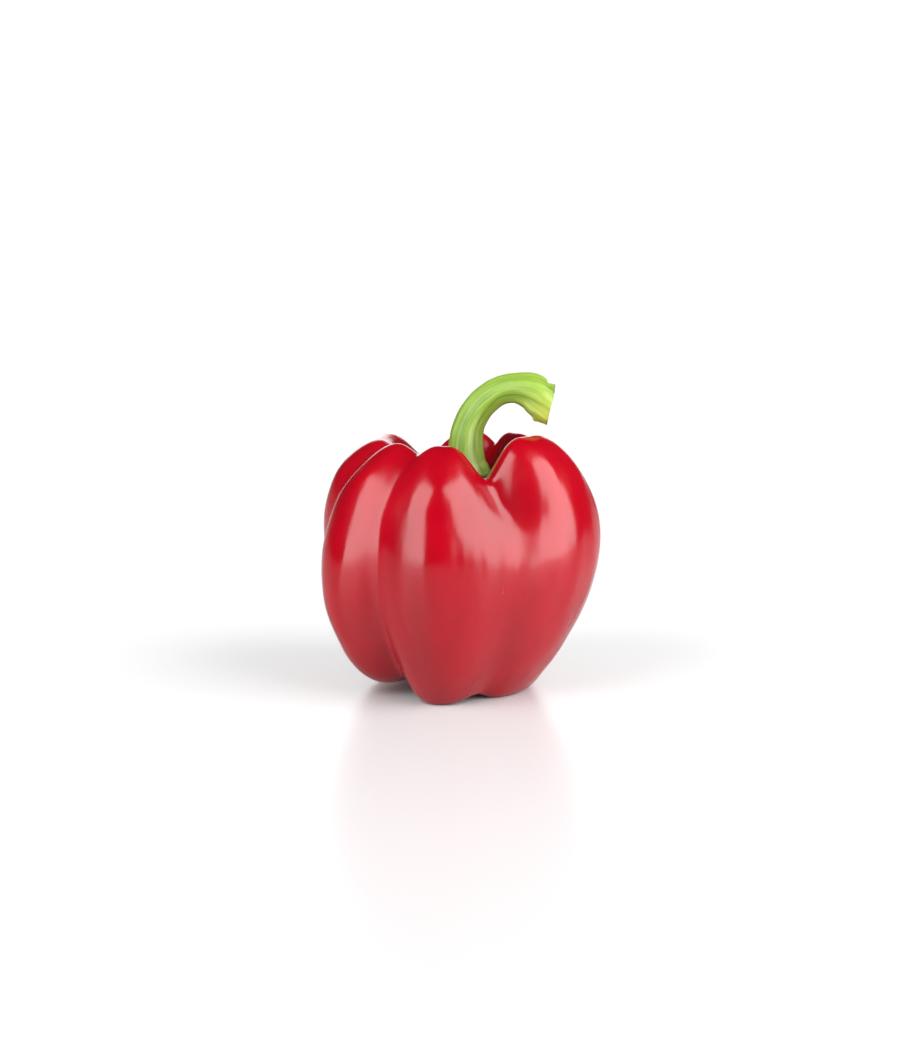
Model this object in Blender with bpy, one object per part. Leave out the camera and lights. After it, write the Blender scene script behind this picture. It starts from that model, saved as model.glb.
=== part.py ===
"""Red bell pepper: a lobed fruit, the green calyx lying in its hollow top, and the hooked stem.

Metres, +Z up, front towards -Y. The origin is the middle of the footprint, on the resting surface.
Angles of lobes and grooves are degrees round the upright axis: 0 is the front, positive turns
towards +X.
"""

import math

import bmesh
import bpy
import numpy as np
from mathutils import Vector

# Overall sizes
BODY_RADIUS = 0.043          # how far a typical lobe reaches from the fruit's axis
BODY_HEIGHT = 0.080          # top of the tallest lobe above the resting surface
AXIS_X = 0.0                 # fruit's axis, placed so that the footprint is centred on the origin
AXIS_Y = 0.0010
STEM_RADIUS = 0.0052         # part way up the stem, below its arch

# Hollow top and dimpled base
HOLLOW_DEPTH = 0.016         # top of the tallest lobe down to the hollow's floor, under the calyx
HOLLOW_FLOOR = BODY_HEIGHT - HOLLOW_DEPTH
SEAT_RADIUS = 1.54 * STEM_RADIUS    # level middle of that floor, wide enough for the stem's foot
DIMPLE_HEIGHT = 0.008        # height of the middle of the base

# Fit between neighbouring pieces
CLEARANCE = 0.0003

# Calyx
CALYX_RADIUS = 0.0118
CALYX_THICKNESS = 0.0018
CALYX_POINTS = 5
CALYX_POINT_DEPTH = 0.12     # how much the points stand out, as a share of the radius

# Stem
STEM_X = 0.0024              # foot of the stem, measured from the fruit's axis
STEM_RISE = 0.0262           # foot of the stem to the top of its arch
STEM_REACH = 0.0244          # foot of the stem to the middle of its cut end
STEM_LEAN = 0.0030           # how far the end comes forward
STEM_CUT_ANGLE = 13.0        # slope of the cut face, degrees from upright

# One lobe a row: azimuth, spread (degrees), crest radius, crest height, reach, reach height,
# foot radius, foot height, fullness of the lower flank.
# Radii are shares of BODY_RADIUS and heights are shares of BODY_HEIGHT.
LOBES = (
    (-23.0, 24.0, 0.547, 0.978, 1.000, 0.575, 0.525, -0.006, 0.00),
    (57.0, 30.0, 0.628, 1.000, 1.000, 0.580, 0.420, -0.003, -0.08),
    (126.0, 22.0, 0.512, 0.950, 0.953, 0.588, 0.442, 0.006, 0.00),
    (168.0, 20.0, 0.535, 0.938, 0.930, 0.588, 0.442, -0.006, 0.00),
    (-108.0, 24.0, 0.616, 0.950, 1.010, 0.600, 0.488, -0.004, 0.02),
    (-62.0, 20.0, 0.605, 0.970, 1.060, 0.530, 0.540, 0.045, 0.11),
)

# The grooves between neighbouring lobes. Each has five rows, at the crest, at the shoulder, at the
# widest part, half way down the flank and at the foot: azimuth, flare to the left and to the right
# (degrees), depth as a share of BODY_RADIUS, and softness of the crease.
GROOVE_LEVELS = (0.0, 0.55, 0.95, 1.5, 2.0)
GROOVES = (
    (
        (-35.0, 22.0, 18.0, 0.070, 0.20),
        (-40.0, 22.0, 26.0, 0.085, 0.15),
        (-39.0, 22.0, 26.0, 0.095, 0.15),
        (-41.0, 22.0, 25.0, 0.112, 0.15),
        (-43.0, 22.0, 24.0, 0.130, 0.15),
    ),
    (
        (18.0, 28.0, 26.0, 0.250, 0.20),
        (26.0, 50.0, 33.0, 0.205, 0.16),
        (21.0, 40.0, 36.0, 0.108, 0.60),
        (17.0, 40.0, 36.0, 0.045, 0.80),
        (10.0, 26.0, 24.0, 0.062, 0.40),
    ),
    (
        (98.0, 42.0, 24.0, 0.163, 0.20),
        (101.0, 24.0, 24.0, 0.130, 0.20),
        (104.0, 24.0, 24.0, 0.105, 0.20),
        (102.0, 24.0, 24.0, 0.110, 0.20),
        (100.0, 24.0, 24.0, 0.116, 0.20),
    ),
    (
        (150.0, 18.0, 18.0, 0.093, 0.20),
        (150.0, 18.0, 18.0, 0.080, 0.20),
        (150.0, 18.0, 18.0, 0.070, 0.20),
        (150.0, 18.0, 18.0, 0.080, 0.20),
        (150.0, 18.0, 18.0, 0.093, 0.20),
    ),
    (
        (-152.0, 34.0, 34.0, 0.209, 0.20),
        (-151.0, 34.0, 34.0, 0.170, 0.20),
        (-150.0, 34.0, 34.0, 0.140, 0.20),
        (-151.0, 34.0, 34.0, 0.140, 0.20),
        (-152.0, 34.0, 34.0, 0.140, 0.20),
    ),
    (
        (-74.0, 20.0, 26.0, 0.080, 0.20),
        (-82.0, 20.0, 28.0, 0.095, 0.20),
        (-86.0, 20.0, 26.0, 0.093, 0.20),
        (-86.0, 20.0, 24.0, 0.098, 0.20),
        (-86.0, 20.0, 20.0, 0.105, 0.20),
    ),
)

# Which way a groove pulls the skin (outward, upward) at each ring of the meridian, and the level
# of that ring: 0 at the crest, 1 at the widest part, 2 at the foot.
GROOVE_PULL = (
    (0.0, 0.0, 0.0),
    (0.0, -0.02, 0.0),
    (0.15, -0.30, 0.0),
    (0.10, -0.75, 0.0),
    (0.0, -1.0, 0.0),
    (-0.65, -0.75, 0.25),
    (-0.95, -0.30, 0.6),
    (-1.0, 0.0, 1.0),
    (-1.0, 0.15, 1.35),
    (-0.9, 0.45, 1.65),
    (-0.6, 0.85, 1.9),
    (-0.1, 1.0, 2.0),
    (0.0, 0.5, 2.0),
    (0.0, 0.0, 2.0),
)

FRUIT_AROUND = 80            # divisions round the fruit
FRUIT_DOWN = 42              # divisions from the hollow's middle to the base's middle
CALYX_AROUND = 60            # divisions round the calyx
CALYX_DOWN = 12              # divisions from the middle of its top to the middle of its underside


def clear_scene():
    for thing in list(bpy.data.objects):
        bpy.data.objects.remove(thing, do_unlink=True)


def new_collection(name):
    collection = bpy.data.collections.new(name)
    bpy.context.scene.collection.children.link(collection)
    return collection


def new_material(name, colour, roughness):
    material = bpy.data.materials.new(name)
    material.use_nodes = True
    shader = material.node_tree.nodes["Principled BSDF"]
    shader.inputs["Base Color"].default_value = (*colour, 1.0)
    shader.inputs["Roughness"].default_value = roughness
    shader.inputs["Metallic"].default_value = 0.0
    return material


def new_object(name, mesh, collection, material):
    for polygon in mesh.polygons:
        polygon.use_smooth = True
    mesh.materials.clear()
    mesh.materials.append(material)
    thing = bpy.data.objects.new(name, mesh)
    collection.objects.link(thing)
    return thing


def turn_between(angles, reference):
    """Signed difference of azimuths, in degrees from -180 to 180."""
    return (angles - reference + 180.0) % 360.0 - 180.0


def lobe_values(azimuths):
    """The lobes' sizes blended round the axis, one row an azimuth, in metres."""
    lobes = np.array(LOBES)
    away = turn_between(np.asarray(azimuths)[:, None], lobes[:, 0])
    weights = np.exp(-((away / lobes[:, 1]) ** 2))
    blend = weights @ lobes[:, 2:] / weights.sum(axis=1, keepdims=True)
    return blend * np.array([BODY_RADIUS, BODY_HEIGHT] * 3 + [1.0])


def crease(distance, softness):
    """Groove cross-section: 1 in the crease, falling smoothly to 0 at distance 1."""
    softened = np.sqrt(distance ** 2 + softness ** 2) - softness
    edge = np.sqrt(1.0 + softness ** 2) - softness
    return np.clip(1.0 - softened / edge, 0.0, 1.0) ** 2


def groove_at(groove, level):
    """A groove's azimuth, flares, depth and softness at a level from 0 (crest) to 2 (foot)."""
    return [np.interp(level, GROOVE_LEVELS, column) for column in zip(*groove)]


def groove_depth(azimuths, level):
    """How deep the grooves cut at the azimuths, in metres."""
    depth = np.zeros(len(azimuths))
    for groove in GROOVES:
        centre, left, right, strength, softness = groove_at(groove, level)
        away = turn_between(azimuths, centre)
        flare = np.where(away < 0.0, left, right)
        depth += strength * crease(np.abs(away) / flare, softness)
    return depth * BODY_RADIUS


def meridians(azimuths):
    """Rings of the skin at each azimuth, from the middle of the hollow to the middle of the base."""
    crest_r, crest_z, reach_r, reach_z, foot_r, foot_z, fullness = lobe_values(azimuths).T
    wall_r = crest_r - SEAT_RADIUS
    wall_z = crest_z - HOLLOW_FLOOR
    shoulder_r = reach_r - crest_r
    shoulder_z = reach_z - crest_z
    flank_r = foot_r - reach_r
    flank_z = foot_z - reach_z
    level = np.zeros(len(azimuths))
    rings = np.array((
        (level, level + HOLLOW_FLOOR),
        (level + SEAT_RADIUS, level + HOLLOW_FLOOR + 0.0002),
        (SEAT_RADIUS + 0.36 * wall_r, HOLLOW_FLOOR + 0.30 * wall_z),
        (SEAT_RADIUS + 0.66 * wall_r, HOLLOW_FLOOR + 0.78 * wall_z),
        (crest_r, crest_z),
        (crest_r + 0.56 * shoulder_r, crest_z + 0.24 * shoulder_z),
        (crest_r + 0.86 * shoulder_r, crest_z + 0.58 * shoulder_z),
        (reach_r, reach_z),
        (reach_r + (0.10 - 0.6 * fullness) * flank_r, reach_z + 0.36 * flank_z),
        (reach_r + (0.36 - fullness) * flank_r, reach_z + 0.68 * flank_z),
        (reach_r + (0.68 - fullness) * flank_r, reach_z + 0.92 * flank_z),
        (foot_r, foot_z),
        (0.5 * foot_r, foot_z + 0.45 * (DIMPLE_HEIGHT - foot_z)),
        (level, level + DIMPLE_HEIGHT),
    ))
    for ring, (outward, upward, place) in zip(rings, GROOVE_PULL):
        depth = groove_depth(azimuths, place)
        ring[0] += outward * depth
        ring[1] += upward * depth
    return rings.transpose(2, 0, 1)


def skin_curves(azimuths, steps):
    """Radius and height of the skin at evenly spaced steps down the meridian of each azimuth."""
    rings = meridians(np.asarray(azimuths, dtype=float))
    back = rings[:, -2:0:-1] * np.array((-1.0, 1.0))
    points = np.concatenate((rings, back), axis=1)
    count = points.shape[1]
    matrix = 4.0 * np.eye(count)
    matrix += np.roll(np.eye(count), 1, axis=1)
    matrix += np.roll(np.eye(count), -1, axis=1)
    change = 3.0 * (np.roll(points, -1, axis=1) - np.roll(points, 1, axis=1))
    slopes = np.linalg.inv(matrix) @ change
    along = (rings.shape[1] - 1) * np.arange(steps + 1) / steps
    here = along.astype(int)
    after = (here + 1) % count
    part = (along - here)[:, None]
    curves = (2 * part ** 3 - 3 * part ** 2 + 1) * points[:, here]
    curves += (part ** 3 - 2 * part ** 2 + part) * slopes[:, here]
    curves += (3 * part ** 2 - 2 * part ** 3) * points[:, after]
    curves += (part ** 3 - part ** 2) * slopes[:, after]
    return curves


def on_axis(radius, height, azimuth):
    """A point given by its radius, height and azimuth round the fruit's axis."""
    angle = math.radians(azimuth)
    return Vector((
        AXIS_X + radius * math.sin(angle),
        AXIS_Y - radius * math.cos(angle),
        height,
    ))


def sphere_steps(vertex, around, down):
    """Which step round and which step down a vertex of a unit sphere stands on."""
    polar = math.acos(max(-1.0, min(1.0, vertex.co.z)))
    angle = math.atan2(vertex.co.x, -vertex.co.y)
    step_round = round(angle / (2.0 * math.pi) * around) % around
    step_down = round(polar / math.pi * down)
    return step_round, step_down


def make_fruit(collection, cutters):
    azimuths = 360.0 * np.arange(FRUIT_AROUND) / FRUIT_AROUND
    curves = skin_curves(azimuths, FRUIT_DOWN)
    work = bmesh.new()
    bmesh.ops.create_uvsphere(work, u_segments=FRUIT_AROUND, v_segments=FRUIT_DOWN, radius=1.0)
    for vertex in work.verts:
        step_round, step_down = sphere_steps(vertex, FRUIT_AROUND, FRUIT_DOWN)
        radius, height = curves[step_round][step_down]
        vertex.co = on_axis(radius, height, azimuths[step_round])
    mesh = bpy.data.meshes.new("fruit")
    work.to_mesh(mesh)
    work.free()
    red = new_material("pepper_red_skin", (0.60, 0.004, 0.014), 0.14)
    fruit = new_object("fruit", mesh, collection, red)
    add_cut(fruit, make_floor_cutter(cutters))
    return fruit


def add_cut(thing, cutter):
    cut = thing.modifiers.new("cut", "BOOLEAN")
    cut.operation = "DIFFERENCE"
    cut.solver = "EXACT"
    cut.object = cutter


def make_box_cutter(name, size, cutters):
    work = bmesh.new()
    bmesh.ops.create_cube(work, size=1.0)
    bmesh.ops.scale(work, vec=Vector(size), verts=work.verts)
    mesh = bpy.data.meshes.new(name)
    work.to_mesh(mesh)
    work.free()
    cutter = bpy.data.objects.new(name, mesh)
    cutter.hide_render = True
    cutter.display_type = "WIRE"
    cutters.objects.link(cutter)
    return cutter


def make_floor_cutter(cutters):
    """Flattens the feet at the resting surface, leaving the small spots the fruit stands on."""
    depth = 0.010
    width = 3.0 * BODY_RADIUS
    cutter = make_box_cutter("floor_cutter", (width, width, depth), cutters)
    cutter.location = (0.0, 0.0, -0.5 * depth)
    return cutter


def floor_under(radius, curve):
    """Height and steepness of the hollow's skin at a radius from the axis."""
    steps_to_crest = int(np.argmax(curve[:, 1]))
    radii = curve[: steps_to_crest + 1, 0]
    heights = curve[: steps_to_crest + 1, 1]
    height = np.interp(radius, radii, heights)
    nudge = 0.0005
    slope = (np.interp(radius + nudge, radii, heights) - height) / nudge
    return height, slope


def calyx_reach(azimuth):
    wave = math.cos(math.radians(CALYX_POINTS * (azimuth - 20.0)))
    return CALYX_RADIUS * (1.0 + CALYX_POINT_DEPTH * wave)


def calyx_top():
    """Height of the calyx where the stem stands on it."""
    return HOLLOW_FLOOR + CLEARANCE + CALYX_THICKNESS


def make_calyx(collection):
    """A ragged disc that follows the floor of the hollow."""
    work = bmesh.new()
    bmesh.ops.create_uvsphere(work, u_segments=CALYX_AROUND, v_segments=CALYX_DOWN, radius=1.0)
    azimuths = 360.0 * np.arange(CALYX_AROUND) / CALYX_AROUND
    curves = skin_curves(azimuths, 4 * FRUIT_DOWN)
    for vertex in work.verts:
        step_round, step_down = sphere_steps(vertex, CALYX_AROUND, CALYX_DOWN)
        azimuth = azimuths[step_round]
        polar = math.pi * step_down / CALYX_DOWN
        radius = calyx_reach(azimuth) * math.sin(polar)
        height, slope = floor_under(radius, curves[step_round])
        lean = math.sqrt(1.0 + slope * slope)
        rounding = math.copysign(abs(math.cos(polar)) ** 0.5, math.cos(polar))
        lift = CLEARANCE + CALYX_THICKNESS * 0.5 * (1.0 + rounding)
        vertex.co = on_axis(radius, height + lift * lean, azimuth)
    mesh = bpy.data.meshes.new("calyx")
    work.to_mesh(mesh)
    work.free()
    dark_green = new_material("calyx_dark_green", (0.060, 0.120, 0.022), 0.55)
    return new_object("calyx", mesh, collection, dark_green)


def stem_path():
    """Middle line of the stem as (point, radius), from its foot to just past the cut end."""
    outline = (
        (0.000, 0.000, 0.00, 1.15),
        (-0.006, 0.045, 0.03, 1.18),
        (-0.022, 0.120, 0.08, 1.05),
        (-0.035, 0.250, 0.17, 1.03),
        (-0.022, 0.450, 0.20, 0.95),
        (0.032, 0.620, 0.18, 0.90),
        (0.155, 0.800, 0.05, 0.87),
        (0.350, 0.950, -0.20, 0.84),
        (0.545, 1.000, -0.45, 0.86),
        (0.735, 0.975, -0.70, 1.04),
        (0.880, 0.905, -0.87, 1.20),
        (1.000, 0.820, -1.00, 1.22),
        (1.130, 0.720, -1.15, 1.22),
    )
    foot_z = calyx_top() + CLEARANCE
    path = []
    for sideways, upward, forward, thickness in outline:
        point = Vector((
            AXIS_X + STEM_X + sideways * STEM_REACH,
            AXIS_Y + forward * STEM_LEAN,
            foot_z + upward * STEM_RISE,
        ))
        path.append((point, thickness * STEM_RADIUS))
    return path


def swept_mesh(name, path):
    """Round bar of varying thickness along a path, with closed ends."""
    curve = bpy.data.curves.new(name, "CURVE")
    curve.dimensions = "3D"
    curve.bevel_depth = STEM_RADIUS
    curve.bevel_resolution = 6
    curve.resolution_u = 3
    curve.use_fill_caps = True
    spline = curve.splines.new("BEZIER")
    spline.bezier_points.add(len(path) - 1)
    for knot, (point, radius) in zip(spline.bezier_points, path):
        knot.co = point
        knot.radius = radius / STEM_RADIUS
        knot.handle_left_type = "AUTO"
        knot.handle_right_type = "AUTO"
    bar = bpy.data.objects.new(name, curve)
    bpy.context.scene.collection.objects.link(bar)
    graph = bpy.context.evaluated_depsgraph_get()
    mesh = bpy.data.meshes.new_from_object(bar.evaluated_get(graph))
    bpy.data.objects.remove(bar, do_unlink=True)
    bpy.data.curves.remove(curve)
    work = bmesh.new()
    work.from_mesh(mesh)
    bmesh.ops.remove_doubles(work, verts=work.verts, dist=0.000001)
    bmesh.ops.recalc_face_normals(work, faces=work.faces)
    work.to_mesh(mesh)
    work.free()
    mesh.name = name
    return mesh


def make_stem(collection, cutters):
    path = stem_path()
    mesh = swept_mesh("stem", path)
    green = new_material("stem_green", (0.330, 0.520, 0.085), 0.50)
    stem = new_object("stem", mesh, collection, green)
    end = path[-2][0]
    length = 0.020
    cutter = make_box_cutter("stem_cutter", (length, 2.0 * length, 2.0 * length), cutters)
    angle = math.radians(STEM_CUT_ANGLE)
    outward = Vector((math.cos(angle), 0.0, -math.sin(angle)))
    cutter.rotation_euler = (0.0, angle, 0.0)
    cutter.location = end + outward * (0.5 * length)
    add_cut(stem, cutter)
    foot_cutter = make_box_cutter("stem_foot_cutter", (length, length, length), cutters)
    foot_cutter.location = path[0][0] - Vector((0.0, 0.0, 0.5 * length))
    add_cut(stem, foot_cutter)
    return stem


def build():
    clear_scene()
    pieces = new_collection("bell_pepper")
    cutters = new_collection("bell_pepper_cutters")
    make_fruit(pieces, cutters)
    make_calyx(pieces)
    make_stem(pieces, cutters)


build()
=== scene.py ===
"""Looks of the red bell pepper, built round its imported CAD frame.

Metres, +Z up, front towards -Y. The fruit, the calyx and the stem are finer meshes that stand for
the CAD solids of the same names and follow the same rules, with the dents, ridges and creases
that the solids leave out.
"""

import math

import bpy
import numpy as np
from mathutils import Euler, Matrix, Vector, noise


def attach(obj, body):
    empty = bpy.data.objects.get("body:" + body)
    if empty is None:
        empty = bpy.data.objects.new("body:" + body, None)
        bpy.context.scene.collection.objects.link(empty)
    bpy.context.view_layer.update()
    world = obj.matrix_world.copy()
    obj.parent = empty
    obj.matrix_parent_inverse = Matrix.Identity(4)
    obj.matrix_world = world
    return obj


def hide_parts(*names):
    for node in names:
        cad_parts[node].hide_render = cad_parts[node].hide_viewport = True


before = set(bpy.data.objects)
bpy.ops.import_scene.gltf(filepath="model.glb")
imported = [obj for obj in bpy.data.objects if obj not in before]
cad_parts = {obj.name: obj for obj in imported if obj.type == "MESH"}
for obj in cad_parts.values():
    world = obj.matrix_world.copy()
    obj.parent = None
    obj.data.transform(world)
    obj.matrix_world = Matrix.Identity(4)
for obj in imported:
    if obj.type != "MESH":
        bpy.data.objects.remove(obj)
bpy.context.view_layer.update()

# Sizes shared with the CAD solids, in metres and degrees
BODY_RADIUS = 0.043
BODY_HEIGHT = 0.080
AXIS_X = 0.0
AXIS_Y = 0.0010
HOLLOW_DEPTH = 0.016
HOLLOW_FLOOR = BODY_HEIGHT - HOLLOW_DEPTH
STEM_RADIUS = 0.0052
SEAT_RADIUS = 1.54 * STEM_RADIUS
DIMPLE_HEIGHT = 0.008
CLEARANCE = 0.0003
CALYX_RADIUS = 0.0118
CALYX_THICKNESS = 0.0018
STEM_X = 0.0024
STEM_RISE = 0.0262
STEM_REACH = 0.0244
STEM_LEAN = 0.0030
STEM_CUT_ANGLE = 13.0

# One lobe a row: azimuth, spread (degrees), crest radius, crest height, reach, reach height,
# foot radius, foot height, fullness of the lower flank.
# Radii are shares of BODY_RADIUS and heights are shares of BODY_HEIGHT.
LOBES = (
    (-23.0, 24.0, 0.547, 0.978, 1.000, 0.575, 0.525, -0.006, 0.00),
    (57.0, 30.0, 0.628, 1.000, 1.000, 0.580, 0.420, -0.003, -0.08),
    (126.0, 22.0, 0.512, 0.950, 0.953, 0.588, 0.442, 0.006, 0.00),
    (168.0, 20.0, 0.535, 0.938, 0.930, 0.588, 0.442, -0.006, 0.00),
    (-108.0, 24.0, 0.616, 0.950, 1.010, 0.600, 0.488, -0.004, 0.02),
    (-62.0, 20.0, 0.605, 0.970, 1.060, 0.530, 0.540, 0.045, 0.11),
)

# The grooves between neighbouring lobes. Each has five rows, at the crest, at the shoulder, at the
# widest part, half way down the flank and at the foot: azimuth, flare to the left and to the right
# (degrees), depth as a share of BODY_RADIUS, and softness of the crease.
GROOVE_LEVELS = (0.0, 0.55, 0.95, 1.5, 2.0)
GROOVES = (
    (
        (-35.0, 22.0, 18.0, 0.070, 0.20),
        (-40.0, 22.0, 26.0, 0.085, 0.15),
        (-39.0, 22.0, 26.0, 0.095, 0.15),
        (-41.0, 22.0, 25.0, 0.112, 0.15),
        (-43.0, 22.0, 24.0, 0.130, 0.15),
    ),
    (
        (18.0, 28.0, 26.0, 0.250, 0.20),
        (26.0, 50.0, 33.0, 0.205, 0.16),
        (21.0, 40.0, 36.0, 0.108, 0.60),
        (17.0, 40.0, 36.0, 0.045, 0.80),
        (10.0, 26.0, 24.0, 0.062, 0.40),
    ),
    (
        (98.0, 42.0, 24.0, 0.163, 0.20),
        (101.0, 24.0, 24.0, 0.130, 0.20),
        (104.0, 24.0, 24.0, 0.105, 0.20),
        (102.0, 24.0, 24.0, 0.110, 0.20),
        (100.0, 24.0, 24.0, 0.116, 0.20),
    ),
    (
        (150.0, 18.0, 18.0, 0.093, 0.20),
        (150.0, 18.0, 18.0, 0.080, 0.20),
        (150.0, 18.0, 18.0, 0.070, 0.20),
        (150.0, 18.0, 18.0, 0.080, 0.20),
        (150.0, 18.0, 18.0, 0.093, 0.20),
    ),
    (
        (-152.0, 34.0, 34.0, 0.209, 0.20),
        (-151.0, 34.0, 34.0, 0.170, 0.20),
        (-150.0, 34.0, 34.0, 0.140, 0.20),
        (-151.0, 34.0, 34.0, 0.140, 0.20),
        (-152.0, 34.0, 34.0, 0.140, 0.20),
    ),
    (
        (-74.0, 20.0, 26.0, 0.080, 0.20),
        (-82.0, 20.0, 28.0, 0.095, 0.20),
        (-86.0, 20.0, 26.0, 0.093, 0.20),
        (-86.0, 20.0, 24.0, 0.098, 0.20),
        (-86.0, 20.0, 20.0, 0.105, 0.20),
    ),
)

# Which way a groove pulls the skin (outward, upward) at each ring of the meridian, and the level
# of that ring: 0 at the crest, 1 at the widest part, 2 at the foot.
GROOVE_PULL = (
    (0.0, 0.0, 0.0),
    (0.0, -0.02, 0.0),
    (0.15, -0.30, 0.0),
    (0.10, -0.75, 0.0),
    (0.0, -1.0, 0.0),
    (-0.65, -0.75, 0.25),
    (-0.95, -0.30, 0.6),
    (-1.0, 0.0, 1.0),
    (-1.0, 0.15, 1.35),
    (-0.9, 0.45, 1.65),
    (-0.6, 0.85, 1.9),
    (-0.1, 1.0, 2.0),
    (0.0, 0.5, 2.0),
    (0.0, 0.0, 2.0),
)

# Fineness of the meshes: how many points go round, and how many rows there are
FRUIT_AROUND = 320
FRUIT_DOWN = 240
CALYX_AROUND = 240
CALYX_OUT = 40
STEM_AROUND = 96
STEM_ALONG = 160


# ---------------------------------------------------------------- shape of the fruit


def turn_between(angles, reference):
    """Signed difference of azimuths, in degrees from -180 to 180."""
    return (angles - reference + 180.0) % 360.0 - 180.0


def lobe_values(azimuths):
    """The lobes' sizes blended round the axis, one row an azimuth, in metres."""
    lobes = np.array(LOBES)
    away = turn_between(np.asarray(azimuths)[:, None], lobes[:, 0])
    weights = np.exp(-((away / lobes[:, 1]) ** 2))
    blend = weights @ lobes[:, 2:] / weights.sum(axis=1, keepdims=True)
    return blend * np.array([BODY_RADIUS, BODY_HEIGHT] * 3 + [1.0])


def crease(distance, softness):
    """Groove cross-section: 1 in the crease, falling smoothly to 0 at distance 1."""
    softened = np.sqrt(distance ** 2 + softness ** 2) - softness
    edge = np.sqrt(1.0 + softness ** 2) - softness
    return np.clip(1.0 - softened / edge, 0.0, 1.0) ** 2


def groove_at(groove, level):
    """A groove's azimuth, flares, depth and softness at a level from 0 (crest) to 2 (foot)."""
    return [np.interp(level, GROOVE_LEVELS, column) for column in zip(*groove)]


def groove_depth(azimuths, level):
    """How deep the grooves cut at the azimuths, in metres."""
    depth = np.zeros(len(azimuths))
    for groove in GROOVES:
        centre, left, right, strength, softness = groove_at(groove, level)
        away = turn_between(azimuths, centre)
        flare = np.where(away < 0.0, left, right)
        depth += strength * crease(np.abs(away) / flare, softness)
    return depth * BODY_RADIUS


def meridians(azimuths):
    """Rings of the skin at each azimuth, from the hollow's middle to the base's middle."""
    crest_r, crest_z, reach_r, reach_z, foot_r, foot_z, fullness = lobe_values(azimuths).T
    wall_r = crest_r - SEAT_RADIUS
    wall_z = crest_z - HOLLOW_FLOOR
    shoulder_r = reach_r - crest_r
    shoulder_z = reach_z - crest_z
    flank_r = foot_r - reach_r
    flank_z = foot_z - reach_z
    level = np.zeros(len(azimuths))
    rings = np.array((
        (level, level + HOLLOW_FLOOR),
        (level + SEAT_RADIUS, level + HOLLOW_FLOOR + 0.0002),
        (SEAT_RADIUS + 0.36 * wall_r, HOLLOW_FLOOR + 0.30 * wall_z),
        (SEAT_RADIUS + 0.66 * wall_r, HOLLOW_FLOOR + 0.78 * wall_z),
        (crest_r, crest_z),
        (crest_r + 0.56 * shoulder_r, crest_z + 0.24 * shoulder_z),
        (crest_r + 0.86 * shoulder_r, crest_z + 0.58 * shoulder_z),
        (reach_r, reach_z),
        (reach_r + (0.10 - 0.6 * fullness) * flank_r, reach_z + 0.36 * flank_z),
        (reach_r + (0.36 - fullness) * flank_r, reach_z + 0.68 * flank_z),
        (reach_r + (0.68 - fullness) * flank_r, reach_z + 0.92 * flank_z),
        (foot_r, foot_z),
        (0.5 * foot_r, foot_z + 0.45 * (DIMPLE_HEIGHT - foot_z)),
        (level, level + DIMPLE_HEIGHT),
    ))
    for ring, (outward, upward, place) in zip(rings, GROOVE_PULL):
        depth = groove_depth(azimuths, place)
        ring[0] += outward * depth
        ring[1] += upward * depth
    return rings.transpose(2, 0, 1)


def between_knots(knots, slopes, here, after, parts):
    """Cubic curve from the knots here to the knots after, parts being how far along it is."""
    part = parts[:, None]
    curve = (2 * part ** 3 - 3 * part ** 2 + 1) * knots[..., here, :]
    curve += (part ** 3 - 2 * part ** 2 + part) * slopes[..., here, :]
    curve += (3 * part ** 2 - 2 * part ** 3) * knots[..., after, :]
    curve += (part ** 3 - part ** 2) * slopes[..., after, :]
    return curve


def skin_curves(azimuths, steps):
    """Radius and height of the skin at evenly spaced steps down the meridian of each azimuth."""
    rings = meridians(np.asarray(azimuths, dtype=float))
    back = rings[:, -2:0:-1] * np.array((-1.0, 1.0))
    points = np.concatenate((rings, back), axis=1)
    count = points.shape[1]
    matrix = 4.0 * np.eye(count)
    matrix += np.roll(np.eye(count), 1, axis=1)
    matrix += np.roll(np.eye(count), -1, axis=1)
    change = 3.0 * (np.roll(points, -1, axis=1) - np.roll(points, 1, axis=1))
    slopes = np.linalg.inv(matrix) @ change
    along = (rings.shape[1] - 1) * np.arange(steps + 1) / steps
    here = along.astype(int)
    after = (here + 1) % count
    return between_knots(points, slopes, here, after, along - here)


def on_axis(radius, height, azimuth):
    """A point given by its radius, height and azimuth round the fruit's axis."""
    angle = math.radians(azimuth)
    return np.array((
        AXIS_X + radius * math.sin(angle),
        AXIS_Y - radius * math.cos(angle),
        height,
    ))


# ---------------------------------------------------------------- helpers


def soft_noise(point, size, seed):
    """Smooth noise from about -1 to 1 whose features are about size across."""
    return noise.noise(Vector(point) / size + Vector((seed, 1.7 * seed, -seed)))


def hump(values, middle, width):
    """A smooth bump: 1 at the middle, falling towards 0 over the width."""
    return np.exp(-(((values - middle) / width) ** 2))


def normals_of(grid):
    """Unit normals of a grid of points that closes on itself sideways."""
    down = np.gradient(grid, axis=0)
    across = np.roll(grid, -1, axis=1) - np.roll(grid, 1, axis=1)
    normal = np.cross(down, across)
    length = np.linalg.norm(normal, axis=2, keepdims=True)
    return normal / np.maximum(length, 1e-12)


def store_values(mesh, key, value):
    """Keeps a grid's numbers or vectors on the mesh, the poles taking the mean of their ring."""
    if value.ndim == 3:
        inner = value.reshape(-1, 3)
        whole = np.concatenate((value[:1].mean(axis=1), inner, value[-1:].mean(axis=1)))
        layer = mesh.attributes.new(key, "FLOAT_VECTOR", "POINT")
        layer.data.foreach_set("vector", whole.ravel())
    else:
        whole = np.concatenate(([value[0].mean()], value.ravel(), [value[-1].mean()]))
        layer = mesh.attributes.new(key, "FLOAT", "POINT")
        layer.data.foreach_set("value", whole)


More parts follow.
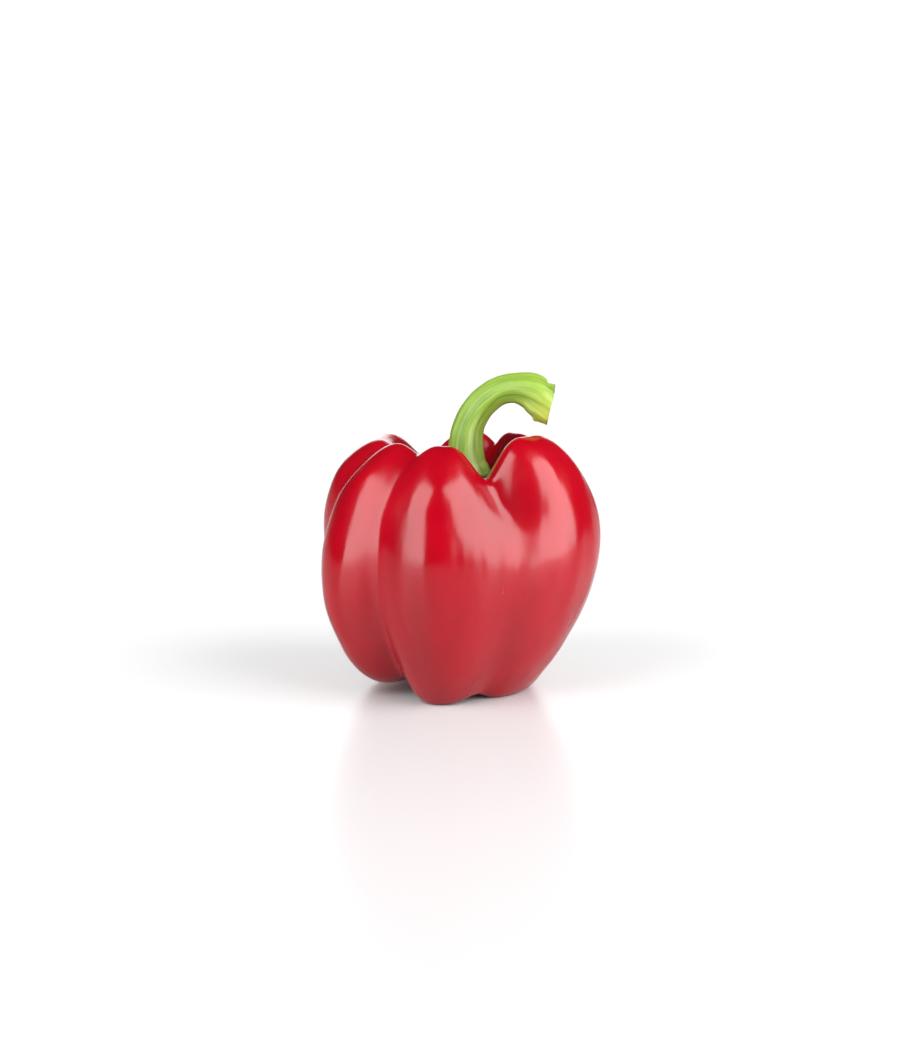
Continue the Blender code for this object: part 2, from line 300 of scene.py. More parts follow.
def grid_object(name, grid, first_pole, last_pole, values):
    """A closed skin from rows of points that go round, with a single point at each end.

    values holds named numbers or vectors for the grid's points, kept for the material.
    """
    rows, around, _ = grid.shape
    points = [tuple(first_pole)]
    points += [tuple(point) for point in grid.reshape(-1, 3)]
    points.append(tuple(last_pole))
    last = len(points) - 1
    faces = []
    for column in range(around):
        beside = (column + 1) % around
        faces.append((0, 1 + beside, 1 + column))
        for row in range(rows - 1):
            upper = 1 + row * around
            lower = upper + around
            faces.append((upper + column, upper + beside, lower + beside, lower + column))
        bottom = 1 + (rows - 1) * around
        faces.append((bottom + column, bottom + beside, last))
    mesh = bpy.data.meshes.new(name)
    mesh.from_pydata(points, [], faces)
    for key, value in values.items():
        store_values(mesh, key, value)
    mesh.polygons.foreach_set("use_smooth", [True] * len(mesh.polygons))
    mesh.update()
    thing = bpy.data.objects.new(name, mesh)
    bpy.context.scene.collection.objects.link(thing)
    return thing


# ---------------------------------------------------------------- fruit


WIDE_DENTS = 0.00045         # how far the skin goes in and out, in metres
SMALL_DENTS = 0.00020
DENT_STRETCH = 0.45          # below 1 draws the dents out upwards
SKIN_INSET = 0.00015         # keeps the dented skin close to the CAD solid


def follow_creases(level):
    """Azimuths of one row's points, shifted so that the mesh's columns run along the creases."""
    even = 360.0 * np.arange(FRUIT_AROUND) / FRUIT_AROUND
    places = np.array([groove_at(groove, 1.0)[0] for groove in GROOVES])
    shifts = np.array([groove_at(groove, level)[0] for groove in GROOVES]) - places
    return even + np.interp(even, places % 360.0, shifts, period=360.0)


def row_levels(steps):
    """Groove level of each of the skin's rows, from the levels of the meridian's rings."""
    ring_levels = [pull[2] for pull in GROOVE_PULL]
    rings = np.arange(len(ring_levels))
    return np.interp(steps / FRUIT_DOWN * rings[-1], rings, ring_levels)


def dent_skin(grid, hollow):
    """Moves the skin's points in and out a little, less inside the hollow."""
    outward = -normals_of(grid)
    for row in range(grid.shape[0]):
        for column in range(FRUIT_AROUND):
            point = grid[row, column]
            stretched = (point[0], point[1], DENT_STRETCH * point[2])
            dent = WIDE_DENTS * soft_noise(stretched, 0.013, 3.0)
            dent += SMALL_DENTS * soft_noise(stretched, 0.006, 8.0)
            lift = dent * (1.0 - 0.8 * hollow[row, column])
            grid[row, column] = point + outward[row, column] * (lift - SKIN_INSET)
    grid[:, :, 2] = np.maximum(grid[:, :, 2], 0.0)


def make_fruit():
    """The skin: the CAD shape, finer, with the slight dents and waves that a real skin has."""
    dense = np.arange(0.0, 360.0, 0.5)
    curves = skin_curves(dense, FRUIT_DOWN)
    crest_steps = np.argmax(curves[:, :, 1], axis=1)
    steps = np.arange(1, FRUIT_DOWN)
    grid = np.zeros((len(steps), FRUIT_AROUND, 3))
    groove = np.zeros((len(steps), FRUIT_AROUND))
    hollow = np.zeros((len(steps), FRUIT_AROUND))
    for row, (step, level) in enumerate(zip(steps, row_levels(steps))):
        azimuths = follow_creases(level)
        radius = np.interp(azimuths, dense, curves[:, step, 0], period=360.0)
        angles = np.radians(azimuths)
        grid[row, :, 0] = AXIS_X + radius * np.sin(angles)
        grid[row, :, 1] = AXIS_Y - radius * np.cos(angles)
        grid[row, :, 2] = np.interp(azimuths, dense, curves[:, step, 1], period=360.0)
        groove[row] = groove_depth(azimuths, level) / BODY_RADIUS
        crest = np.interp(azimuths, dense, crest_steps, period=360.0)
        hollow[row] = np.clip(1.0 - step / crest, 0.0, 1.0)
    dent_skin(grid, hollow)
    values = {"groove": groove, "hollow": hollow}
    top = (AXIS_X, AXIS_Y, HOLLOW_FLOOR)
    base = (AXIS_X, AXIS_Y, DIMPLE_HEIGHT)
    fruit = grid_object("pepper_skin", grid, top, base, values)
    fruit.data.materials.append(skin_material())
    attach(fruit, "root")
    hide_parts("fruit")


# ---------------------------------------------------------------- calyx


def floor_under(radius, curve):
    """Height of the hollow's skin at a radius from the axis."""
    steps_to_crest = int(np.argmax(curve[:, 1]))
    return np.interp(radius, curve[: steps_to_crest + 1, 0], curve[: steps_to_crest + 1, 1])


def calyx_reach(azimuth):
    """Ragged outline of the calyx: blunt points with smaller nicks between them."""
    angle = math.radians(azimuth)
    wave = 0.10 * math.cos(5.0 * angle - 1.75) + 0.045 * math.cos(8.0 * angle + 0.6)
    wave += 0.030 * math.sin(13.0 * angle + 2.0) + 0.02 * math.sin(29.0 * angle)
    return CALYX_RADIUS * (1.0 + wave)


def calyx_curl(share, azimuth):
    """How far the calyx's edge curls up from the hollow's skin."""
    return 0.0011 * share ** 6 * (1.0 + math.sin(math.radians(5.0 * azimuth) + 1.0))


def calyx_top(share, azimuth):
    """Height of the calyx's upper side above the hollow's floor, share being 0 to 1 outwards."""
    angle = math.radians(azimuth)
    collar = 0.0016 * hump(share, 0.50, 0.11)
    ribs = 0.00035 * math.cos(5.0 * angle - 1.75) * share
    wrinkle = 0.00042 * math.sin(17.0 * angle + 5.0 * share) * math.sin(math.pi * share) ** 2
    wrinkle += 0.00030 * math.sin(31.0 * angle - 9.0 * share) * share ** 2
    edge = math.sqrt(max(0.0, 1.0 - share ** 10))
    return (CALYX_THICKNESS + collar + ribs + wrinkle) * edge + calyx_curl(share, azimuth)


def make_calyx():
    """A crumpled, ragged-edged disc with a collar round the stem's foot."""
    half = CALYX_OUT
    rows = 2 * half - 1
    grid = np.zeros((rows, CALYX_AROUND, 3))
    outward = np.zeros((rows, CALYX_AROUND))
    spokes = np.zeros((rows, CALYX_AROUND, 3))
    azimuths = 360.0 * np.arange(CALYX_AROUND) / CALYX_AROUND
    curves = skin_curves(azimuths, 4 * FRUIT_DOWN)
    for column, (azimuth, curve) in enumerate(zip(azimuths, curves)):
        reach = calyx_reach(azimuth)
        for row in range(rows):
            on_top = row < half
            share = (row + 1) / half if on_top else (rows - row) / half
            radius = reach * share
            if on_top:
                lift = calyx_top(share, azimuth)
            else:
                lift = 0.9 * calyx_curl(share, azimuth)
            height = floor_under(radius, curve) + CLEARANCE + lift
            grid[row, column] = on_axis(radius, height, azimuth)
            outward[row, column] = share
            angle = math.radians(azimuth)
            spokes[row, column] = (math.cos(angle), math.sin(angle), share)
    top = (AXIS_X, AXIS_Y, HOLLOW_FLOOR + CLEARANCE + CALYX_THICKNESS)
    under = (AXIS_X, AXIS_Y, HOLLOW_FLOOR + CLEARANCE)
    calyx = grid_object("calyx_leaf", grid, top, under, {"outward": outward, "spokes": spokes})
    calyx.data.materials.append(calyx_material())
    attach(calyx, "root")
    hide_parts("calyx")


# ---------------------------------------------------------------- stem

# One row a knot of the stem's middle line: sideways, upward and forward as shares of STEM_REACH,
# STEM_RISE and STEM_LEAN, and thickness as a share of STEM_RADIUS. The last row lies past the cut.
STEM_KNOTS = (
    (0.000, -0.025, 0.00, 1.30),
    (-0.006, 0.035, 0.03, 1.20),
    (-0.022, 0.120, 0.08, 1.05),
    (-0.035, 0.250, 0.17, 1.03),
    (-0.022, 0.450, 0.20, 0.95),
    (0.032, 0.620, 0.18, 0.90),
    (0.155, 0.800, 0.05, 0.87),
    (0.350, 0.950, -0.20, 0.84),
    (0.545, 1.000, -0.45, 0.86),
    (0.735, 0.975, -0.70, 1.04),
    (0.880, 0.905, -0.87, 1.20),
    (1.000, 0.820, -1.00, 1.22),
    (1.130, 0.720, -1.15, 1.22),
)
STEM_FOOT = HOLLOW_FLOOR + 2.0 * CLEARANCE + CALYX_THICKNESS
CUT_TILT = math.radians(STEM_CUT_ANGLE)
CUT_NORMAL = np.array((math.cos(CUT_TILT), 0.0, -math.sin(CUT_TILT)))
STEM_BUMPS = 0.00016         # unevenness of the skin and of the pith, in metres
PITH_BUMPS = 0.00015
PITH_DEPTH = 0.00140         # how far the middle of the pith lies inside the cut


def stem_path():
    """Knots of the stem's middle line, each with the radius there, in metres."""
    knots = np.array(STEM_KNOTS)
    return np.column_stack((
        AXIS_X + STEM_X + knots[:, 0] * STEM_REACH,
        AXIS_Y + knots[:, 2] * STEM_LEAN,
        STEM_FOOT + knots[:, 1] * STEM_RISE,
        knots[:, 3] * STEM_RADIUS,
    ))


def smooth_path(rows, steps):
    """Points and radii at even steps along a smooth curve through the rows."""
    count = len(rows)
    slopes = np.gradient(rows, axis=0)
    along = (count - 1) * np.arange(steps + 1) / steps
    here = np.minimum(along.astype(int), count - 2)
    return between_knots(rows, slopes, here, here + 1, along - here)


def stem_swell(angles, shares):
    """Cross-section of the stem: broad lengthwise ridges with finer fibres, as shares of radius."""
    twist = angles + 0.7 * shares
    ridges = 0.030 * np.cos(5.0 * twist + 0.4) + 0.022 * np.cos(8.0 * twist + 2.1)
    fibres = 0.008 * np.cos(21.0 * twist) + 0.004 * np.cos(37.0 * twist + 1.0)
    return 1.0 + ridges + fibres


def between_rows(values, places):
    """Values at fractional row numbers, one row number for each point."""
    here = np.minimum(places.astype(int), len(values) - 2)
    part = places - here
    columns = np.arange(places.shape[1])
    if values.ndim == 3:
        part = part[:, :, None]
    return values[here, columns] * (1.0 - part) + values[here + 1, columns] * part


def hoof(angles, before_cut):
    """How far the skin of the flared end stands out, before_cut being the distance to the cut."""
    outer = np.clip(-np.cos(angles), 0.0, 1.0)
    inner = np.clip(np.cos(angles), 0.0, 1.0)
    narrow = np.clip(np.cos(angles + 0.20), 0.0, 1.0) ** 30
    shoulder = -0.0012 * outer ** 1.5 * hump(before_cut, 0.0, 0.0030)
    notch = -0.0006 * outer ** 4 * hump(before_cut, 0.0014, 0.0007)
    heel = -0.0009 * inner ** 1.5 * hump(before_cut, 0.0, 0.0016)
    sliver = 0.0007 * narrow * hump(before_cut, 0.0034, 0.0008)
    return shoulder + notch + heel + sliver


def past_cut(points):
    """Distance of points past the plane that cuts the stem off, negative before it."""
    return (points - stem_path()[-2, :3]) @ CUT_NORMAL


def cut_crossing(beyond):
    """Fractional row number at which each column of the stem passes through the cut."""
    after = np.argmax(beyond > 0.0, axis=0)
    columns = np.arange(beyond.shape[1])
    past = beyond[after, columns]
    return after - past / (past - beyond[after - 1, columns])


def stem_sides(path):
    """Directions across the stem at each step: towards the inner side of its hook, and back."""
    ahead = np.gradient(path[:, :3], axis=0)
    ahead /= np.linalg.norm(ahead, axis=1, keepdims=True)
    across = np.cross((0.0, 1.0, 0.0), ahead)
    across /= np.linalg.norm(across, axis=1, keepdims=True)
    return across, np.cross(ahead, across)


def stem_tube(angles):
    """The stem's skin from its foot to the cut, its outward directions and its shares of length."""
    path = smooth_path(stem_path(), STEM_ALONG)
    across, aside = stem_sides(path)
    steps = np.arange(STEM_ALONG + 1)[:, None]
    outward = np.cos(angles)[:, None] * across[:, None] + np.sin(angles)[:, None] * aside[:, None]
    radii = path[:, 3:] * stem_swell(angles, steps / STEM_ALONG)
    skin = path[:, None, :3] + radii[:, :, None] * outward
    places = steps * cut_crossing(past_cut(skin)) / STEM_ALONG
    return between_rows(skin, places), between_rows(outward, places), places / STEM_ALONG


def shape_end(skin, outward, angles, before_cut):
    """The skin with its end shaped like a hoof, and slightly uneven all along."""
    lift = hoof(angles, before_cut)
    for row in range(STEM_ALONG + 1):
        for side in range(STEM_AROUND):
            lift[row, side] += STEM_BUMPS * soft_noise(skin[row, side], 0.004, 5.0)
    outer = np.clip(-np.cos(angles), 0.0, 1.0)
    knuckle = 0.0007 * outer ** 2 * hump(before_cut, 0.0, 0.0012)
    return skin + lift[:, :, None] * outward + knuckle[:, :, None] * CUT_NORMAL


def make_stem():
    """The hooked stem, flared like a hoof and cut off at its end."""
    angles = 2.0 * math.pi * np.arange(STEM_AROUND) / STEM_AROUND
    skin, outward, shares = stem_tube(angles)
    before_cut = np.maximum(0.0, -past_cut(skin))
    values = stem_values(angles, shares, before_cut)
    skin = shape_end(skin, outward, angles, before_cut)
    caps, deepest = cut_face(skin[-1])
    skin = np.concatenate((skin, caps))
    for key, value in values.items():
        values[key] = np.concatenate((value, np.repeat(value[-1:], len(caps), axis=0)))[:, ::-1]
    on_cut = np.zeros(skin.shape[:2])
    on_cut[-len(caps):] = np.linspace(0.3, 1.0, len(caps))[:, None]
    values["on_cut"] = on_cut
    stem = grid_object("stem_stalk", skin[:, ::-1], stem_path()[0, :3], deepest, values)
    stem.data.materials.append(stem_material())
    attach(stem, "root")
    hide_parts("stem")


def stem_values(angles, shares, before_cut):
    """What the stem's material reads at each point.

    pale, the painted shade under the arch, tip (yellow) and dried run from 0 to 1. strand is a
    place on an even tube, on which fibres run straight along the stem.
    """
    inner = np.cos(angles)
    turned = np.degrees(angles)
    broad = hump(np.radians(turn_between(turned, 290.0)), 0.0, 0.30)
    narrow = hump(np.radians(turn_between(turned, 240.0)), 0.0, 0.16)
    pale = broad * np.clip(1.3 - 2.2 * shares, 0.0, 1.0)
    pale += 0.5 * narrow * np.clip(1.6 - 2.0 * shares, 0.0, 1.0)
    arch = np.clip((shares - 0.22) / 0.15, 0.0, 1.0) * np.clip((0.86 - shares) / 0.12, 0.0, 1.0)
    # Painted shade: darker on the arch's underside, the side that faces down into the hook.
    painted_arch_shade = np.clip((inner - 0.35) / 0.5, 0.0, 1.0) * arch
    far_half = shares > 0.5
    tip = hump(before_cut, 0.0, 0.0060) * np.clip(0.55 + 0.6 * inner, 0.0, 1.0) * far_half
    corner = np.clip(np.abs(inner) - 0.15, 0.0, 1.0)
    dried = hump(before_cut, 0.0, 0.00055) * (0.35 + 0.65 * corner) * far_half
    around = (np.cos(angles), np.sin(angles))
    strand = np.stack([np.broadcast_to(part, shares.shape) for part in (*around, shares)], axis=2)
    return {"pale": pale, "painted_arch_shade": painted_arch_shade, "tip": tip, "dried": dried, "strand": strand}


def cut_face(rim):
    """Rings that close the cut end, a thin lip and a sunken, uneven pith, and their middle."""
    centre = rim.mean(axis=0)
    profile = (
        (0.97, -0.00012),
        (0.93, 0.00005),
        (0.88, 0.00035),
        (0.80, 0.00065),
        (0.68, 0.00085),
        (0.54, 0.00095),
        (0.38, 0.00105),
        (0.22, 0.00120),
        (0.10, 0.00135),
    )
    rings = []
    for share, sink in profile:
        ring = centre + (rim - centre) * share
        bumps = np.array([soft_noise(point, 0.0012, 11.0) for point in ring])
        rings.append(ring - CUT_NORMAL * (sink + PITH_BUMPS * bumps[:, None]))
    return np.array(rings), centre - CUT_NORMAL * PITH_DEPTH


# ---------------------------------------------------------------- materials


class Nodes:
    """Short way to add and join nodes of one material."""

    def __init__(self, name):
        self.material = bpy.data.materials.new(name)
        self.material.use_nodes = True
        self.tree = self.material.node_tree
        self.shader = self.tree.nodes["Principled BSDF"]

    def add(self, kind, **settings):
        """A new node with its settings."""
        node = self.tree.nodes.new(kind)
        for key, value in settings.items():
            setattr(node, key, value)
        return node

    def join(self, source, target):
        """Links an output to an input."""
        self.tree.links.new(source, target)

    def feed(self, value, socket):
        """Gives a socket a link, a colour or a number."""
        if isinstance(value, bpy.types.NodeSocket):
            self.join(value, socket)
        elif isinstance(value, tuple):
            socket.default_value = (*value, 1.0)
        else:
            socket.default_value = value

    def stretched(self, vector, scale):
        """The vector with each of its axes scaled. A low scale draws a pattern out."""
        node = self.add("ShaderNodeMapping")
        node.inputs["Scale"].default_value = scale
        self.join(vector, node.inputs["Vector"])
        return node.outputs["Vector"]

    def position(self, scale=(1.0, 1.0, 1.0)):
        """The place on the object, in metres, with each axis scaled."""
        place = self.add("ShaderNodeTexCoord")
        return self.stretched(place.outputs["Object"], scale)

    def stored(self, name, output="Fac"):
        """A value that the mesh keeps for each of its points."""
        node = self.add("ShaderNodeAttribute", attribute_name=name)
        return node.outputs[output]

    def noise(self, vector, scale, detail=3.0, roughness=0.5):
        """Cloudy noise from 0 to 1."""
        node = self.add("ShaderNodeTexNoise")
        node.inputs["Scale"].default_value = scale
        node.inputs["Detail"].default_value = detail
        node.inputs["Roughness"].default_value = roughness
        self.join(vector, node.inputs["Vector"])
        return node.outputs["Fac"]

    def spots(self, vector, scale):
        """Distance to the nearest of many scattered points."""
        node = self.add("ShaderNodeTexVoronoi")
        node.inputs["Scale"].default_value = scale
        self.join(vector, node.inputs["Vector"])
        return node.outputs["Distance"]

    def ramp(self, source, stops):
        """Colours blended along the source, each stop a place and a colour."""
        node = self.add("ShaderNodeValToRGB")
        elements = node.color_ramp.elements
        while len(elements) < len(stops):
            elements.new(0.5)
        for element, (place, colour) in zip(elements, stops):
            element.position = place
            element.color = (*colour, 1.0)
        self.join(source, node.inputs["Fac"])
        return node.outputs["Color"]

    def range(self, source, low, high, to_low, to_high):
        """The source taken from low..high to to_low..to_high, and kept within that."""
        node = self.add("ShaderNodeMapRange")
        node.inputs["From Min"].default_value = low
        node.inputs["From Max"].default_value = high
        node.inputs["To Min"].default_value = to_low
        node.inputs["To Max"].default_value = to_high
        self.join(source, node.inputs["Value"])
        return node.outputs["Result"]

    def mix(self, amount, first, second):
        """Two colours or noises mixed: all first at amount 0, all second at 1."""
        node = self.add("ShaderNodeMix", data_type="RGBA")
        self.feed(amount, node.inputs[0])
        self.feed(first, node.inputs[6])
        self.feed(second, node.inputs[7])
        return node.outputs[2]

    def math(self, operation, first, second):
        """Two numbers joined by an operation."""
        node = self.add("ShaderNodeMath", operation=operation)
        self.feed(first, node.inputs[0])
        self.feed(second, node.inputs[1])
        return node.outputs[0]

    def bump(self, height, strength, distance):
        """Small relief in the shader's normal, distance being its height in metres."""
        node = self.add("ShaderNodeBump")
        node.inputs["Strength"].default_value = strength
        node.inputs["Distance"].default_value = distance
        self.join(height, node.inputs["Height"])
        self.join(node.outputs["Normal"], self.shader.inputs["Normal"])

    def flesh(self, weight, radius, scale):
        """Light that spreads under the surface, scale being its reach in metres."""
        self.shader.inputs["Subsurface Weight"].default_value = weight
        self.shader.inputs["Subsurface Radius"].default_value = radius
        self.shader.inputs["Subsurface Scale"].default_value = scale


def skin_material():
    """Waxy red skin: deep saturated red with faint flecks and waves; the darker creases and hollow
    are painted shade.
    """
    nodes = Nodes("pepper_skin")
    place = nodes.position()
    tall = nodes.position((1.0, 1.0, 0.25))
    blotches = nodes.noise(tall, 55.0, 3.0)
    red = nodes.ramp(blotches, (
        (0.30, (0.225, 0.0002, 0.0045)),
        (0.55, (0.285, 0.0003, 0.0062)),
        (0.75, (0.330, 0.0006, 0.0078)),
    ))
    # Painted shade: the skin darkens in the creases between the lobes, more where the groove cuts
    # deeper.
    shade = nodes.range(nodes.stored("groove"), 0.02, 0.20, 0.0, 0.55)
    red = nodes.mix(shade, red, (0.17, 0.0005, 0.0040))
    # Painted shade: the skin darkens inside the hollow round the stem.
    deep = nodes.range(nodes.stored("hollow"), 0.35, 1.0, 0.0, 0.5)
    red = nodes.mix(deep, red, (0.19, 0.006, 0.0040))
    flecks = nodes.range(nodes.spots(place, 900.0), 0.06, 0.16, 0.10, 0.0)
    red = nodes.mix(flecks, red, (0.38, 0.02, 0.015))
    nodes.join(red, nodes.shader.inputs["Base Color"])
    smudges = nodes.noise(place, 140.0, 4.0)
    bloom = nodes.noise(nodes.position((1.0, 1.0, 0.6)), 75.0, 1.5, 0.5)
    patchy = nodes.mix(0.35, bloom, smudges)
    nodes.join(nodes.range(patchy, 0.32, 0.68, 0.14, 0.28), nodes.shader.inputs["Roughness"])
    nodes.shader.inputs["Specular IOR Level"].default_value = 0.39
    nodes.flesh(0.15, (1.0, 0.10, 0.05), 0.0025)
    waves = nodes.noise(tall, 105.0, 2.0, 0.5)
    pores = nodes.noise(place, 1500.0, 2.0)
    height = nodes.math("ADD", waves, nodes.math("MULTIPLY", pores, 0.04))
    nodes.bump(height, 0.36, 0.0009)
    return nodes.material


def calyx_material():
    """Dull dark green leaf, paler along its veins and brownish at its edge."""
    nodes = Nodes("calyx_leaf")
    place = nodes.position()
    spokes = nodes.stored("spokes", "Vector")
    veins = nodes.noise(spokes, 6.0, 4.0, 0.6)
    green = nodes.ramp(veins, (
        (0.30, (0.020, 0.045, 0.008)),
        (0.55, (0.060, 0.120, 0.018)),
        (0.75, (0.130, 0.210, 0.040)),
    ))
    rim = nodes.range(nodes.stored("outward"), 0.86, 1.0, 0.0, 0.7)
    green = nodes.mix(rim, green, (0.100, 0.085, 0.020))
    middle = nodes.range(nodes.stored("outward"), 0.62, 0.45, 0.0, 0.8)
    green = nodes.mix(middle, green, (0.250, 0.400, 0.070))
    nodes.join(green, nodes.shader.inputs["Base Color"])
    nodes.join(nodes.range(veins, 0.3, 0.7, 0.42, 0.62), nodes.shader.inputs["Roughness"])
    nodes.flesh(0.10, (0.3, 0.6, 0.1), 0.001)
    nodes.bump(nodes.noise(place, 900.0, 4.0), 0.5, 0.0005)
    return nodes.material


def stem_material():
    """Fresh yellow-green stalk: pale lengthwise streaks, painted shade of dull dark green under the
    arch, a drying cut.
    """
    nodes = Nodes("stem_stalk")
    place = nodes.position()
    lengthwise = nodes.stretched(nodes.stored("strand", "Vector"), (1.0, 1.0, 0.8))
    streaks = nodes.noise(lengthwise, 3.6, 4.0, 0.6)
    green = nodes.ramp(streaks, (
        (0.32, (0.110, 0.215, 0.014)),
        (0.48, (0.168, 0.282, 0.024)),
        (0.62, (0.228, 0.340, 0.046)),
        (0.75, (0.300, 0.400, 0.105)),
    ))
    ragged = nodes.math("ADD", nodes.stored("pale"), nodes.range(streaks, 0.3, 0.7, -0.35, 0.35))
    green = nodes.mix(nodes.range(ragged, 0.15, 1.1, 0.0, 0.65), green, (0.420, 0.520, 0.230))
    # Painted shade under the arch, broken up by the stalk's own streaks.
    under = nodes.math("ADD", nodes.stored("painted_arch_shade"), nodes.range(streaks, 0.3, 0.7, 0.25, -0.25))
    green = nodes.mix(nodes.range(under, 0.1, 1.1, 0.0, 0.85), green, (0.150, 0.180, 0.018))
    yellow = nodes.range(nodes.stored("tip"), 0.0, 1.0, 0.0, 0.75)
    green = nodes.mix(yellow, green, (0.430, 0.450, 0.060))
    blotches = nodes.noise(place, 420.0, 4.0, 0.6)
    scar = nodes.math("ADD", nodes.stored("dried"), nodes.range(blotches, 0.3, 0.7, -0.3, 0.3))
    green = nodes.mix(nodes.range(scar, 0.25, 0.9, 0.0, 0.9), green, (0.130, 0.105, 0.050))
    pith = nodes.ramp(blotches, (
        (0.35, (0.230, 0.210, 0.085)),
        (0.65, (0.400, 0.400, 0.200)),
    ))
    green = nodes.mix(nodes.range(nodes.stored("on_cut"), 0.35, 0.60, 0.0, 1.0), green, pith)
    nodes.join(green, nodes.shader.inputs["Base Color"])
    nodes.join(nodes.range(streaks, 0.3, 0.7, 0.42, 0.60), nodes.shader.inputs["Roughness"])
    nodes.flesh(0.15, (0.6, 1.0, 0.2), 0.0015)
    fibres = nodes.noise(lengthwise, 18.0, 3.0)
    grain = nodes.math("ADD", fibres, nodes.math("MULTIPLY", nodes.noise(place, 1800.0, 2.0), 0.3))
    nodes.bump(grain, 0.35, 0.0004)
    return nodes.material


# ---------------------------------------------------------------- studio

VIEW_ELEVATION = 12.0
VIEW_DISTANCE = 0.900
FOCAL_LENGTH = 100.6
SENSOR = 36.0
FRUIT_MIDDLE = Vector((-0.0003, 0.0010, 0.040))
AIM_LEFT = 0.00307           # how far the camera aims to the left of the fruit's middle
AIM_UP = 0.0098              # and above it

TABLE_HALF_WIDTH = 0.75
TABLE_FRONT = -0.60
TABLE_BACK = 1.5
BACKDROP_HALF_WIDTH = 0.46
BACKDROP_BOTTOM = -0.10
BACKDROP_TOP = 0.60
BACKDROP_GLOW = 2.2

SOFTBOX_DISTANCE = 0.60
SOFTBOX_MIDDLE = 0.345       # height of a softbox's middle above the table
SOFTBOX_TALL = 0.77
LIT_POINT = Vector((0.0, 0.0, 0.05))

WORLD_SEEN = 1.0             # strength of the white world to the camera
WORLD_FILL = 0.30            # on matt surfaces
WORLD_MIRRORED = 0.03        # in reflections
WHITE = (1.0, 1.0, 1.0, 1.0)


def make_camera():
    """Looks slightly down through a long lens, the fruit a little right of and below centre."""
    elevation = math.radians(VIEW_ELEVATION)
    back = Vector((0.0, -math.cos(elevation), math.sin(elevation)))
    right = Vector((1.0, 0.0, 0.0))
    up = Vector((0.0, math.sin(elevation), math.cos(elevation)))
    aim = FRUIT_MIDDLE - AIM_LEFT * right + AIM_UP * up
    data = bpy.data.cameras.new("camera")
    data.lens = FOCAL_LENGTH
    data.sensor_width = SENSOR
    data.sensor_fit = "AUTO"
    camera = bpy.data.objects.new("camera", data)
    camera.location = aim + VIEW_DISTANCE * back
    camera.rotation_euler = Euler((math.radians(90.0 - VIEW_ELEVATION), 0.0, 0.0))
    bpy.context.scene.collection.objects.link(camera)
    bpy.context.scene.camera = camera


def softbox(name, azimuth, width, power):
    """A tall soft light that faces the fruit, its azimuth turning from the front to the right."""
    angle = math.radians(azimuth)
    data = bpy.data.lights.new(name, "AREA")
    data.shape = "RECTANGLE"
    data.size = width
    data.size_y = SOFTBOX_TALL
    data.energy = power
    light = bpy.data.objects.new(name, data)
    light.location = (
        SOFTBOX_DISTANCE * math.sin(angle),
        -SOFTBOX_DISTANCE * math.cos(angle),
        SOFTBOX_MIDDLE,
    )
    towards = LIT_POINT - light.location
    light.rotation_euler = towards.to_track_quat("-Z", "Y").to_euler()
    light.visible_camera = False
    bpy.context.scene.collection.objects.link(light)


def make_lights():
    """Two softboxes at the front, whose mirror images are the skin's upright highlights."""
    softbox("softbox_right", 60.0, 0.66, 11.2)
    softbox("softbox_left", -51.0, 0.53, 8.0)


def flat_sheet(name, corners, material):
    """A single flat face that belongs to the studio and not to the object."""
    mesh = bpy.data.meshes.new(name)
    mesh.from_pydata(corners, [], [(0, 1, 2, 3)])
    mesh.materials.append(material)
    sheet = bpy.data.objects.new(name, mesh)
    bpy.context.scene.collection.objects.link(sheet)


def make_floor():
    """A smooth table, pale grey near the fruit, with painted light that makes it whiter towards the
    back.
    """
    nodes = Nodes("white_table")
    smear = nodes.noise(nodes.position(), 3.0, 2.0)
    near = nodes.ramp(smear, ((0.3, (0.51, 0.514, 0.517)), (0.7, (0.53, 0.534, 0.537))))
    place = nodes.add("ShaderNodeSeparateXYZ")
    nodes.join(nodes.position(), place.inputs["Vector"])
    # Painted light: the table turns whiter towards the back, standing in for a lamp on its far
    # part.
    painted_light_behind = nodes.range(place.outputs["Y"], 0.0, 0.55, 0.0, 1.0)
    white = nodes.mix(painted_light_behind, near, (0.80, 0.805, 0.81))
    nodes.join(white, nodes.shader.inputs["Base Color"])
    nodes.shader.inputs["Roughness"].default_value = 0.28
    corners = [
        (-TABLE_HALF_WIDTH, TABLE_FRONT, 0.0),
        (TABLE_HALF_WIDTH, TABLE_FRONT, 0.0),
        (TABLE_HALF_WIDTH, TABLE_BACK, 0.0),
        (-TABLE_HALF_WIDTH, TABLE_BACK, 0.0),
    ]
    flat_sheet("table", corners, nodes.material)


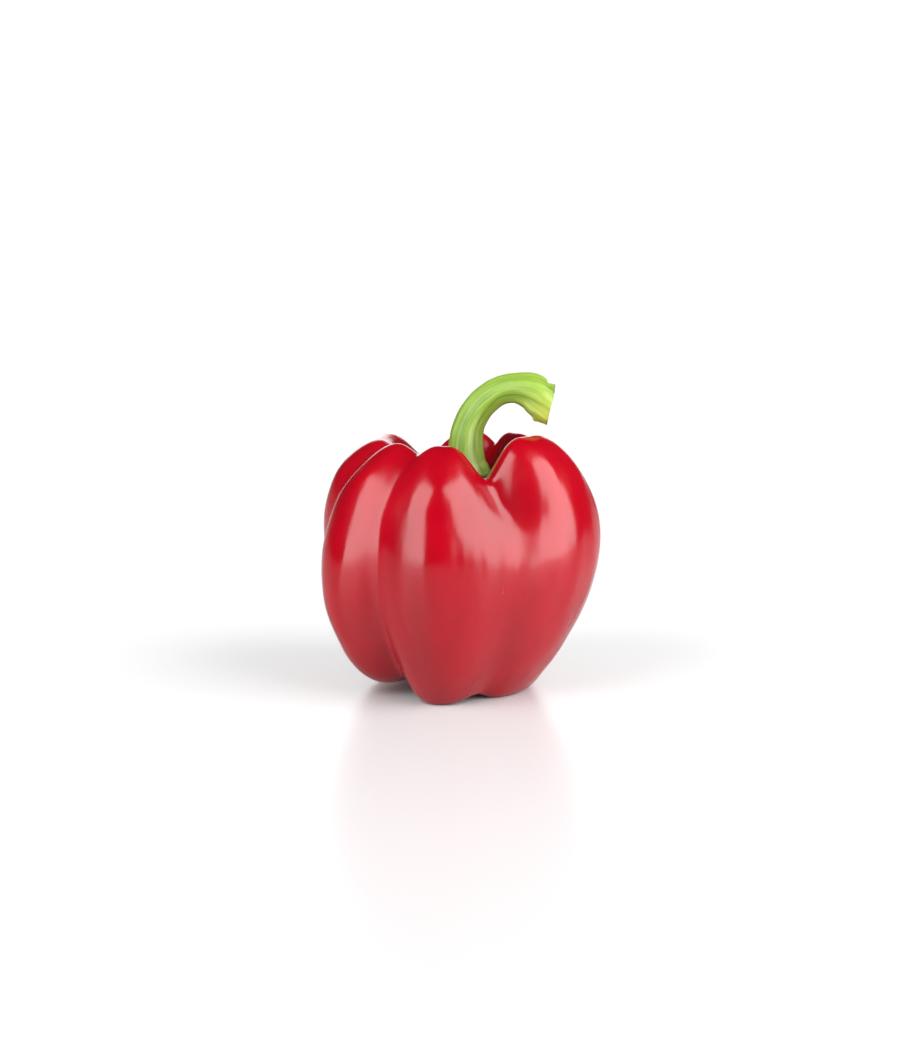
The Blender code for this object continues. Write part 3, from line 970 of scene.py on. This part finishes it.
def make_backdrop():
    """A glowing white sheet at the table's back edge."""
    material = bpy.data.materials.new("white_backdrop")
    material.use_nodes = True
    tree = material.node_tree
    tree.nodes.clear()
    glow = tree.nodes.new("ShaderNodeEmission")
    glow.inputs["Color"].default_value = WHITE
    glow.inputs["Strength"].default_value = BACKDROP_GLOW
    output = tree.nodes.new("ShaderNodeOutputMaterial")
    tree.links.new(glow.outputs["Emission"], output.inputs["Surface"])
    corners = [
        (-BACKDROP_HALF_WIDTH, TABLE_BACK, BACKDROP_BOTTOM),
        (BACKDROP_HALF_WIDTH, TABLE_BACK, BACKDROP_BOTTOM),
        (BACKDROP_HALF_WIDTH, TABLE_BACK, BACKDROP_TOP),
        (-BACKDROP_HALF_WIDTH, TABLE_BACK, BACKDROP_TOP),
    ]
    flat_sheet("backdrop", corners, material)


def white_light(tree, strength):
    """A white background of one strength."""
    node = tree.nodes.new("ShaderNodeBackground")
    node.inputs["Color"].default_value = WHITE
    node.inputs["Strength"].default_value = strength
    return node.outputs["Background"]


def either(tree, test, no, yes):
    """One of two backgrounds, by a test of the ray."""
    node = tree.nodes.new("ShaderNodeMixShader")
    tree.links.new(test, node.inputs["Fac"])
    tree.links.new(no, node.inputs[1])
    tree.links.new(yes, node.inputs[2])
    return node.outputs["Shader"]


def make_world():
    """White to the eye and dim in reflections, so that the softboxes draw the highlights."""
    world = bpy.data.worlds.new("studio")
    bpy.context.scene.world = world
    world.use_nodes = True
    tree = world.node_tree
    tree.nodes.clear()
    ray = tree.nodes.new("ShaderNodeLightPath")
    mirrored = white_light(tree, WORLD_MIRRORED)
    fill = white_light(tree, WORLD_FILL)
    seen = white_light(tree, WORLD_SEEN)
    unseen = either(tree, ray.outputs["Is Diffuse Ray"], mirrored, fill)
    shown = either(tree, ray.outputs["Is Camera Ray"], unseen, seen)
    output = tree.nodes.new("ShaderNodeOutputWorld")
    tree.links.new(shown, output.inputs["Surface"])


bpy.context.scene.view_settings.view_transform = "Standard"
make_fruit()
make_calyx()
make_stem()
make_floor()
make_backdrop()
make_world()
make_lights()
make_camera()
